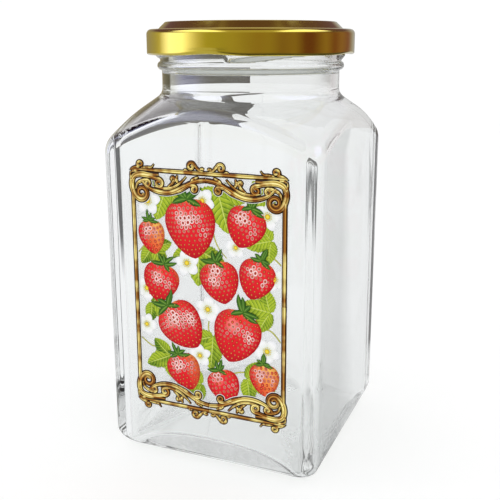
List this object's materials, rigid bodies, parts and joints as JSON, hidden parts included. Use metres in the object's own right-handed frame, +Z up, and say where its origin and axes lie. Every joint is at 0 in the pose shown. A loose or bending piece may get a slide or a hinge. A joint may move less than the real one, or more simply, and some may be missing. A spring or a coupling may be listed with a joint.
{
  "type": "glass storage jar",
  "caption": "Square clear glass storage jar with conical shoulders, a round threaded neck, a twist-off metal lid and a printed label on its front.",
  "frame": {"origin": "middle of the jar's footprint, on the surface it stands on", "axes": "+Z up along the axis of the neck and the lid; -Y is the front, the face that carries the label; +X to the right of the label"},
  "size_m": [0.0728, 0.0737, 0.1434],
  "materials": {
    "glass": "clear, smooth flint glass",
    "lid_metal": "gold-lacquered tinplate, glossy",
    "label_print": "clear film printed with a gilt scroll border round fruit"
  },
  "bodies": {
    "root": {"glass_jar": "glass", "lid": "lid_metal", "label": "label_print"}
  },
  "joints": []
}
